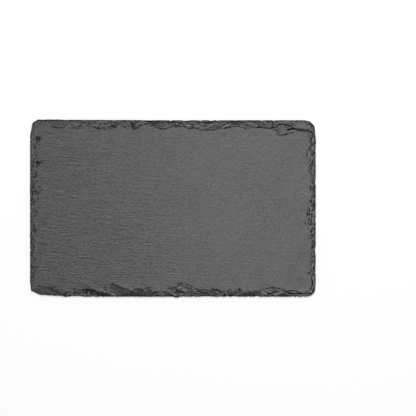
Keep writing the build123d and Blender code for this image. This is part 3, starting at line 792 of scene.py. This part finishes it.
for v in slab.verts:
    depth = v[depth_of]
    broken = smooth_step(BROKEN_FROM, BROKEN_FULL, depth)
    v[broken_of] = broken
    if broken > 0:
        x, y = v.co.x, v.co.y
        place = Vector((x, y, 0.0)) / MM
        unrest = 1 - BED_CALM * v[bed_of]
        rough = broken * (1 + v[rubble_of]) * unrest
        depth += STEP_SHARE * broken * unrest * (stairs(depth, place) - depth)
        if long_side_share(x, y) > 0.5:
            stands = splinter(x, y, SPLINTER_LONG, SPLINTER_SHORT)
        else:
            stands = splinter(x, y, SPLINTER_SHORT, SPLINTER_LONG)
        depth += rough * SPLINTER_RISE * stands
        v[tone_of] += rough * SPLINTER_TONE * stands
        v[tone_of] += v[rubble_of] * CRUMB_TONE * splinter(x, y, CRUMB, CRUMB)
        waves = sum(share * noise.noise(place / length) for share, length in ROUGH_WAVES)
        depth += broken * ROUGH * waves
        drop = max(0.0, 1 - v[gap_of] / RIM_REACH)
        depth += RIM_DROP * drop**2
        v[tone_of] += RIM_SHADE * drop
    v[depth_of] = max(0.0, min(depth, face_level - underside - LEAST_WALL))
print("broken edge:", sum(v[broken_of] > 0.5 for v in slab.verts), "places")

# %% [markdown]
# ## Ripples on the riven face
# The face parted between two layers, and the plane of parting ran in fine ripples along the board. They are
# strongest at the left end and fade towards the right. They are only a few hundredths of a millimetre high,
# so they are noise, stretched along the length, added straight to the height of the grid.

# %% Raise the ripples
RIPPLE = 0.07 * MM
RIPPLE_LONG, RIPPLE_SHORT = 13.0, 2.2
# They fade by this share, between these places, counted in halves of the length from the middle.
RIPPLE_FADE, FADE_START, FADE_END = 0.65, -0.6, 0.7
FINER, FINER_SHARE = 2.1, 0.5
BEND, BEND_REACH, BEND_SLICE = 0.8, 30.0, 5.0
SWELL = 0.1 * MM
SWELL_LONG, SWELL_SHORT, SWELL_SLICE = 55.0, 40.0, 9.0
# Usual heights of crests, as shares of RIPPLE and SWELL. They are taken off, to keep near the CAD level.
RIPPLE_CREST, SWELL_CREST = 0.8, 0.6
CALM_WHERE_BROKEN = 0.7


def ripple_strength(x):
    """How strongly the face is rippled here: 1 at the left end, about a third at the right end."""
    return 1.0 - RIPPLE_FADE * smooth_step(FADE_START * half_length, FADE_END * half_length, x)


def riven(x, y):
    """How high the riven face lies over the CAD face, mostly a little below it."""
    place = Vector((x / MM / RIPPLE_LONG, y / MM / RIPPLE_SHORT, 0.0))
    place.y += BEND * noise.noise(Vector((x / MM / BEND_REACH, y / MM / BEND_REACH, BEND_SLICE)))
    ripple = noise.noise(place) + FINER_SHARE * noise.noise(place * FINER)
    swell = noise.noise(Vector((x / MM / SWELL_LONG, y / MM / SWELL_SHORT, SWELL_SLICE)))
    return RIPPLE * ripple_strength(x) * (ripple - RIPPLE_CREST) + SWELL * (swell - SWELL_CREST)


for v in slab.verts:
    x, y = v.co.x, v.co.y
    v.co.z = face_level - v[depth_of] + riven(x, y) * (1 - CALM_WHERE_BROKEN * v[broken_of])
print("face: ripples of", round(RIPPLE / MM, 3), "mm on swells of", round(SWELL / MM, 3), "mm")

# %% [markdown]
# ## The wall and the underside
# Below the flakes a narrow wall is left, rough where the stone snapped. The rim is extruded down in two
# steps and each ring is shaken a little. The underside is a second, coarser grid, which follows the rim as
# the face does and is bridged to the last ring. It was split too, so it gets faint ripples, but it stays
# flat where the feet are glued on.

# %% Close the slab
WALL_SHARE = 0.45
WALL_SHAKE, WALL_MEAN, WALL_REACH = 0.22 * MM, 0.5, 1.6
ARRIS, ARRIS_SHARE, ARRIS_REACH = 0.35 * MM, 0.6, 2.2
UNDER_COLUMNS = 110
UNDER_ROWS = 70
UNDER_MARGIN = 1.4 * MM
UNDER_LONG, UNDER_SHORT, UNDER_SLICE = 18.0, 4.0, 21.0
FLAT_FOR_FEET = 11.0 * MM
FLAT_SHARE = 0.7
feet = [sum(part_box(n), Vector()) / 2 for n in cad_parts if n.startswith("rubber_foot")]


def ring_below(edges, height_of):
    """Extrudes a ring of edges and sets the new places with height_of. Returns the new ring's edges."""
    grown = bmesh.ops.extrude_edge_only(slab, edges=edges)["geom"]
    for v in grown:
        if isinstance(v, bmesh.types.BMVert):
            height_of(v)
    return [e for e in grown if isinstance(e, bmesh.types.BMEdge) and e.is_boundary]


def middle_of_wall(v):
    """Lowers a place of the rim to the middle of the wall and shakes it."""
    place = v.co / MM
    v.co.z = underside + WALL_SHARE * (v.co.z - underside)
    v.co -= outward(v.co.x, v.co.y) * WALL_SHAKE * (WALL_MEAN + noise.noise(place / WALL_REACH))


def foot_of_wall(v):
    """Lowers a place to the underside, a little in from the wall, as the lower edge is blunted."""
    v.co.z = underside
    blunt = ARRIS_SHARE + ARRIS_SHARE * noise.noise(v.co / MM / ARRIS_REACH)
    v.co -= outward(v.co.x, v.co.y) * ARRIS * blunt


rim_edges = [e for e in slab.edges if e.is_boundary]
wall_edges = ring_below(rim_edges, middle_of_wall)
ring_below(wall_edges, foot_of_wall)

below = bmesh.new()
bmesh.ops.create_grid(below, x_segments=UNDER_COLUMNS, y_segments=UNDER_ROWS, size=1.0)
for v in below.verts:
    x, y = round_off(v.co.x * half_length, v.co.y * half_width)
    v.co = (x * (1 - UNDER_MARGIN / half_length), y * (1 - UNDER_MARGIN / half_width), underside)
    v.co += follow_rim(v.co, UNDER_MARGIN)[1]
    flat = min((v.co.xy - f.xy).length for f in feet)
    lift = smooth_step(FLAT_SHARE * FLAT_FOR_FEET, FLAT_FOR_FEET, flat)
    place = Vector((v.co.x / MM / UNDER_LONG, v.co.y / MM / UNDER_SHORT, UNDER_SLICE))
    v.co.z += lift * RIPPLE * (1 + noise.noise(place))
below_mesh = bpy.data.meshes.new("below")
below.to_mesh(below_mesh)
below.free()
slab.from_mesh(below_mesh)
bpy.data.meshes.remove(below_mesh)
open_edges = [e for e in slab.edges if e.is_boundary]
bmesh.ops.bridge_loops(slab, edges=open_edges)
bmesh.ops.recalc_face_normals(slab, faces=slab.faces)
print("slab:", len(slab.faces), "faces, open edges left:", sum(e.is_boundary for e in slab.edges))

# %% [markdown]
# ## Finish the slab
# Attributes go on the mesh for the material to read: how broken a place is, how steep it is, and whether it
# stands out as a ridge or lies in a hollow. The height is smoothed a few times, and what lies above the
# smoothed height is a ridge. Ridges of broken slate are bruised pale. Hollows get painted shade, and so do
# steep faces, where the layers are seen end on.

# %% Store the attributes and make the object
SHARP = math.radians(38.0)
RIDGE_HEIGHT = 0.3 * MM
SMOOTHINGS = 5


def put(name, data):
    """Makes an object of this data, at the origin, and puts it in the scene."""
    thing = bpy.data.objects.new(name, data)
    bpy.context.scene.collection.objects.link(thing)
    return thing


slab.verts.ensure_lookup_table()
slab.verts.index_update()
slab.normal_update()
smooth_z = [v.co.z for v in slab.verts]
for turn in range(SMOOTHINGS):
    smooth_z = [
        sum(smooth_z[e.other_vert(v).index] for e in v.link_edges) / len(v.link_edges) for v in slab.verts
    ]
# The material paints shade in hollows, where the ridge is below zero, and on steep faces.
for v in slab.verts:
    v[ridge_of] = max(-1.0, min(1.0, (v.co.z - smooth_z[v.index]) / RIDGE_HEIGHT))
    v[end_on_shade_of] = 1 - abs(v.normal.z)
for face in slab.faces:
    face.smooth = True
for edge in slab.edges:
    edge.smooth = edge.calc_face_angle(0.0) < SHARP
slab_mesh = bpy.data.meshes.new("riven_slate_slab")
slab.to_mesh(slab_mesh)
slab.free()
slate_piece = put("riven_slate_slab", slab_mesh)
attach(slate_piece, "root")
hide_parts("slate_slab")
print("triangles:", sum(len(p.vertices) - 2 for p in slab_mesh.polygons))

# %% [markdown]
# ## Colours and nodes
# A colour is written as it looks on a screen, as a hex value in sRGB. Shaders count in linear light, so one
# function converts it. A second small function adds a node, sets its values and links its inputs, which
# keeps each material below short enough to read as a recipe. A third makes an empty material to start from.


# %% Three helpers for materials
def colour(hex_value):
    """A hex colour in sRGB as a linear colour with alpha."""
    parts = [int(hex_value[k : k + 2], 16) / 255 for k in (1, 3, 5)]
    return [p / 12.92 if p <= 0.04045 else ((p + 0.055) / 1.055) ** 2.4 for p in parts] + [1.0]


def add(tree, kind, settings=None, **inputs):
    """Adds a node of this kind. An input is named by its socket, or i0, i1 and so on by the socket's number.
    What comes from another node is linked, and a plain value is set."""
    node = tree.nodes.new(kind)
    for name, value in (settings or {}).items():
        setattr(node, name, value)
    for name, value in inputs.items():
        numbered = name[0] == "i" and name[1:].isdigit()
        socket = node.inputs[int(name[1:]) if numbered else name]
        if isinstance(value, bpy.types.NodeSocket):
            tree.links.new(value, socket)
        else:
            socket.default_value = value
    return node


def new_material(name):
    """A material with nothing in its node tree yet, and that tree."""
    material = bpy.data.materials.new(name)
    material.use_nodes = True
    material.node_tree.nodes.clear()
    return material, material.node_tree


# %% [markdown]
# ## Riven slate
# Slate is a fine-grained stone of clay and mica. On a riven face the mica lies flat and gives a soft, even
# grey with a faint sheen, crossed by thin darker streaks where the ripples of the parting run. On the
# broken edge the layers are seen end on: rougher, darker, without the sheen, and bruised pale on ridges.
# Its hollows and steep faces get painted shade as well.
# A photograph of slate could be laid over it, but noise needs no picture and fits any size. Each pattern is
# noise at the size that it has on the stone. Its grit is finer than a tenth of a millimetre, too fine to
# show, so the grain is drawn more than ten times as coarse. Light from one side gives each ripple a paler
# and a darker flank. The lamp is too soft to show this on ripples so fine, so the flanks are painted light
# and shade: streaks and dashes have a second, weaker copy taken off a step to one side.

# %% Patterns of the slate
# Each pattern: (length in mm, width in mm, detail, distortion, share of its strength left at the right end).
SLATE_PATTERNS = {
    "streaks": (14.0, 1.0, 0.0, 0.3, 0.26),
    "dashes": (3.0, 1.0, 0.0, 0.2, 0.28),
    "bands": (26.0, 2.4, 1.0, 0.3, 0.3),
    "grain": (1.7, 1.3, 1.0, 0.0, 0.83),
    "clouds": (38.0, 38.0, 2.0, 0.0, 1.0),
}
# The patterns run at this small angle to the length of the board.
TILT = math.radians(-4.0)
# Streaks and dashes get painted light and shade on their flanks, from a shifted copy.
PAINTED_FLANKS = ("streaks", "dashes")
SIDE_STEP = 1.2 * MM
SIDE_SHARE = 0.45
NOISE_ROUGHNESS = 0.55
NOISE_LOW, NOISE_HIGH = 0.3, 0.7
# They fade along this way, to the right and a little to the back, between these halves of the length.
SLANT = (1.0, 0.5, 0.0)
SLANT_START, SLANT_END = -1.0, 0.5
slate, tree = new_material("riven_slate")
place = add(tree, "ShaderNodeTexCoord").outputs["Object"]
end_to_end = add(tree, "ShaderNodeSeparateXYZ", Vector=place).outputs["X"]
slantwise = add(
    tree, "ShaderNodeVectorMath", {"operation": "DOT_PRODUCT"}, i0=place, i1=SLANT
).outputs["Value"]
patterns = {}
for name, (long_mm, wide_mm, detail, distortion, fade) in SLATE_PATTERNS.items():
    size = (long_mm * MM, wide_mm * MM, wide_mm * MM)
    copies = []
    for shift in (0.0, -SIDE_STEP) if name in PAINTED_FLANKS else (0.0,):
        spot = add(
            tree, "ShaderNodeMapping", {"vector_type": "TEXTURE"},
            Vector=place, Location=(0.0, shift, 0.0), Rotation=(0.0, 0.0, TILT), Scale=size,
        ).outputs["Vector"]
        waves = add(
            tree, "ShaderNodeTexNoise",
            Vector=spot, Scale=1.0, Detail=detail, Roughness=NOISE_ROUGHNESS, Distortion=distortion,
        ).outputs["Fac"]
        copies.append(
            add(
                tree, "ShaderNodeMapRange", {"clamp": False},
                i0=waves, i1=NOISE_LOW, i2=NOISE_HIGH, i3=-1.0, i4=1.0,
            ).outputs[0]
        )
    wave = copies[0]
    if name in PAINTED_FLANKS:
        wave = add(
            tree, "ShaderNodeMath", {"operation": "MULTIPLY_ADD"}, i0=copies[1], i1=-SIDE_SHARE, i2=wave
        ).outputs[0]
    strength = add(
        tree, "ShaderNodeMapRange", {"interpolation_type": "SMOOTHSTEP"},
        i0=slantwise, i1=SLANT_START * half_length, i2=SLANT_END * half_length, i3=1.0, i4=fade,
    ).outputs[0]
    patterns[name] = add(tree, "ShaderNodeMath", {"operation": "MULTIPLY"}, i0=wave, i1=strength).outputs[0]
for name in ("broken", "ridge", "end_on_shade", "tone"):
    patterns[name] = add(tree, "ShaderNodeAttribute", {"attribute_name": name}).outputs["Fac"]

# %% Mix the slate
FACE_TONE = 0.505
FACE_MIX = {"streaks": 0.175, "dashes": 0.16, "bands": 0.05, "grain": 0.225, "clouds": 0.03, "tone": 0.5}
EDGE_TONE = 0.45
# Hollows and steep faces get painted shade; the tone holds the painted shade of cracks and the rim too.
EDGE_MIX = {"ridge": 0.3, "end_on_shade": -0.7, "tone": 1.0, "grain": 0.09}
RELIEF_MIX = {"streaks": 0.7, "dashes": 0.6, "grain": 0.4}
RELIEF_HEIGHT, RELIEF_STRENGTH = 0.08 * MM, 0.6
FACE_COLOURS = colour("#3a3a3c"), colour("#818184")
EDGE_COLOURS = colour("#121212"), colour("#909091")
LEFT_LIGHTNESS, RIGHT_LIGHTNESS = 0.64, 0.985
LIGHT_START, LIGHT_END = -1.2, 0.6
FACE_ROUGHNESS, EDGE_ROUGHNESS = 0.62, 0.85
SLATE_IOR = 1.5
tones = []
for base, mix in ((FACE_TONE, FACE_MIX), (EDGE_TONE, EDGE_MIX), (0.0, RELIEF_MIX)):
    tone = base
    for name, amount in mix.items():
        tone = add(
            tree, "ShaderNodeMath", {"operation": "MULTIPLY_ADD"}, i0=patterns[name], i1=amount, i2=tone
        ).outputs[0]
    tones.append(tone)
face_tone, edge_tone, relief = tones
face_colour = add(
    tree, "ShaderNodeMix", {"data_type": "RGBA"}, i0=face_tone, i6=FACE_COLOURS[0], i7=FACE_COLOURS[1]
).outputs[2]
edge_colour = add(
    tree, "ShaderNodeMix", {"data_type": "RGBA"}, i0=edge_tone, i6=EDGE_COLOURS[0], i7=EDGE_COLOURS[1]
).outputs[2]
stone_colour = add(
    tree, "ShaderNodeMix", {"data_type": "RGBA"}, i0=patterns["broken"], i6=face_colour, i7=edge_colour
).outputs[2]
lightness = add(
    tree, "ShaderNodeMapRange", {"interpolation_type": "SMOOTHSTEP"},
    i0=end_to_end, i1=LIGHT_START * half_length, i2=LIGHT_END * half_length,
    i3=LEFT_LIGHTNESS, i4=RIGHT_LIGHTNESS,
).outputs[0]
stone_colour = add(
    tree, "ShaderNodeMix", {"data_type": "RGBA", "blend_type": "MULTIPLY"},
    i0=1.0, i6=stone_colour, i7=lightness,
).outputs[2]
bump = add(
    tree, "ShaderNodeBump", Strength=RELIEF_STRENGTH, Distance=RELIEF_HEIGHT, Height=relief
).outputs["Normal"]
roughness = add(
    tree, "ShaderNodeMapRange", i0=patterns["broken"], i1=0.0, i2=1.0, i3=FACE_ROUGHNESS, i4=EDGE_ROUGHNESS
).outputs[0]
shader = add(
    tree, "ShaderNodeBsdfPrincipled",
    **{"Base Color": stone_colour, "Roughness": roughness, "Normal": bump, "IOR": SLATE_IOR},
)
add(tree, "ShaderNodeOutputMaterial", Surface=shader.outputs["BSDF"])
slab_mesh.materials.append(slate)
print("material:", slate.name, "with", len(tree.nodes), "nodes")

# %% [markdown]
# ## Moulded rubber feet
# The feet are small moulded bumpers of black rubber. The mould leaves a dull, slightly dusty skin that
# scatters light, so they look soft and nearly black. They could be modelled again, but their shape in the
# CAD model is right, so they keep it and only get a finish. The skin's grain is drawn coarser than it is, or
# it wouldn't show.

# %% Finish the feet
RUBBER_GRAIN = 0.4 * MM
GRAIN_DETAIL = 2.0
RUBBER_COLOURS = colour("#161616"), colour("#2c2c2b")
RUBBER_ROUGHNESS = 0.6, 0.8
RUBBER_IOR = 1.52
SKIN_HEIGHT, SKIN_STRENGTH = 0.04 * MM, 0.4
rubber, tree = new_material("moulded_rubber")
place = add(tree, "ShaderNodeTexCoord").outputs["Object"]
skin = add(
    tree, "ShaderNodeTexNoise", Vector=place, Scale=1 / RUBBER_GRAIN, Detail=GRAIN_DETAIL
).outputs["Fac"]
rubber_colour = add(
    tree, "ShaderNodeMix", {"data_type": "RGBA"}, i0=skin, i6=RUBBER_COLOURS[0], i7=RUBBER_COLOURS[1]
).outputs[2]
rubber_rough = add(
    tree, "ShaderNodeMapRange",
    i0=skin, i1=NOISE_LOW, i2=NOISE_HIGH, i3=RUBBER_ROUGHNESS[0], i4=RUBBER_ROUGHNESS[1],
).outputs[0]
bump = add(
    tree, "ShaderNodeBump", Strength=SKIN_STRENGTH, Distance=SKIN_HEIGHT, Height=skin
).outputs["Normal"]
shader = add(
    tree, "ShaderNodeBsdfPrincipled",
    **{"Base Color": rubber_colour, "Roughness": rubber_rough, "Normal": bump, "IOR": RUBBER_IOR},
)
add(tree, "ShaderNodeOutputMaterial", Surface=shader.outputs["BSDF"])
print("material:", rubber.name, "with", len(tree.nodes), "nodes")

# %% [markdown]
# ## Acrylic glue film
# Each foot is held by a thin disc of acrylic glue, milky where it is pressed against the stone, with the
# soft gloss of a plastic. A clear film would need glass-like shading, but between stone and rubber it looks
# pale and opaque, so a plain finish does. Its mottle is drawn coarser than it is, or it wouldn't show.

# %% Finish the glue
GLUE_MOTTLE = 1.6 * MM
GLUE_COLOURS = colour("#cfcabb"), colour("#e9e6dc")
GLUE_ROUGHNESS = 0.3, 0.5
GLUE_IOR = 1.47
glue, tree = new_material("acrylic_glue_film")
place = add(tree, "ShaderNodeTexCoord").outputs["Object"]
mottle = add(
    tree, "ShaderNodeTexNoise", Vector=place, Scale=1 / GLUE_MOTTLE, Detail=GRAIN_DETAIL
).outputs["Fac"]
glue_colour = add(
    tree, "ShaderNodeMix", {"data_type": "RGBA"}, i0=mottle, i6=GLUE_COLOURS[0], i7=GLUE_COLOURS[1]
).outputs[2]
glue_rough = add(
    tree, "ShaderNodeMapRange",
    i0=mottle, i1=NOISE_LOW, i2=NOISE_HIGH, i3=GLUE_ROUGHNESS[0], i4=GLUE_ROUGHNESS[1],
).outputs[0]
shader = add(
    tree, "ShaderNodeBsdfPrincipled",
    **{"Base Color": glue_colour, "Roughness": glue_rough, "IOR": GLUE_IOR},
)
add(tree, "ShaderNodeOutputMaterial", Surface=shader.outputs["BSDF"])
for name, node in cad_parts.items():
    if name != "slate_slab":
        node.data.materials.clear()
        node.data.materials.append(rubber if name.startswith("rubber_foot") else glue)
print("feet and glue finished:", len(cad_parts) - 1)

# %% [markdown]
# ## Studio
# The board lies on a plain white floor that takes its shadow. The floor shows as white to the camera, with
# a little light of its own for the rays that see it as a background, and not for the light that the board
# receives. One large soft lamp hangs over the back of the board, and a pale sky fills the shadows.

# %% Floor
FLOOR_HALF = 6.0
FLOOR_GLOW = 0.36
PAPER_COLOUR = colour("#ececec")
floor_grid = bmesh.new()
bmesh.ops.create_grid(floor_grid, x_segments=1, y_segments=1, size=FLOOR_HALF)
floor_mesh = bpy.data.meshes.new("studio_floor")
floor_grid.to_mesh(floor_mesh)
floor_grid.free()
floor = put("studio_floor", floor_mesh)
paper, tree = new_material("white_paper")
path = add(tree, "ShaderNodeLightPath").outputs
seen = add(
    tree, "ShaderNodeMath", {"operation": "MAXIMUM"}, i0=path["Is Camera Ray"], i1=path["Is Glossy Ray"]
).outputs[0]
seen = add(
    tree, "ShaderNodeMath", {"operation": "MAXIMUM"}, i0=seen, i1=path["Is Transmission Ray"]
).outputs[0]
glow_strength = add(tree, "ShaderNodeMath", {"operation": "MULTIPLY"}, i0=seen, i1=FLOOR_GLOW).outputs[0]
matt = add(tree, "ShaderNodeBsdfDiffuse", Color=PAPER_COLOUR).outputs[0]
glow = add(tree, "ShaderNodeEmission", Strength=glow_strength).outputs[0]
both = add(tree, "ShaderNodeAddShader", i0=matt, i1=glow).outputs[0]
add(tree, "ShaderNodeOutputMaterial", Surface=both)
floor_mesh.materials.append(paper)
print("floor:", 2 * FLOOR_HALF, "m wide")

# %% Sky and lamp
SKY_STRENGTH = 0.25
LAMP_AT = Vector((0.127, 0.593, 1.906))
LAMP_SIZE = 1.06
LAMP_POWER = 23.3
world = bpy.data.worlds.new("pale_sky")
world.use_nodes = True
sky = world.node_tree.nodes["Background"].inputs
sky["Color"].default_value = colour("#ffffff")
sky["Strength"].default_value = SKY_STRENGTH
bpy.context.scene.world = world
lamp_data = bpy.data.lights.new("soft_lamp", "AREA")
lamp_data.shape = "DISK"
lamp_data.size = LAMP_SIZE
lamp_data.energy = LAMP_POWER
lamp = put("soft_lamp", lamp_data)
lamp.location = LAMP_AT
lamp.rotation_euler = (-LAMP_AT).to_track_quat("-Z", "Y").to_euler()
print("lamp:", round(LAMP_AT.length, 2), "m from the board")

# %% [markdown]
# ## Camera
# The camera looks straight down, as the picture of the board does. Its height follows from the size of one
# pixel on the board: the whole frame of pixels has to fill the sensor through the lens. The board lies to
# the left of the middle of the frame, so the camera stands a little to the right.

# %% Place the camera
# One pixel covers this much, at this level over the floor.
PIXEL = 0.9271 * MM
PIXEL_LEVEL = 3.0 * MM
FRAME_PIXELS = 416
PIXELS_ASIDE, PIXELS_BACK = 35.1, 0.07
LENS, SENSOR = 100.0, 36.0
camera_data = bpy.data.cameras.new("camera")
camera_data.lens = LENS
camera_data.sensor_width = SENSOR
camera = put("camera", camera_data)
camera_height = PIXEL_LEVEL + FRAME_PIXELS * PIXEL * LENS / SENSOR
camera.location = (PIXELS_ASIDE * PIXEL, PIXELS_BACK * PIXEL, camera_height)
bpy.context.scene.camera = camera
bpy.context.scene.view_settings.view_transform = "Standard"
print("camera height:", round(camera_height, 3), "m")
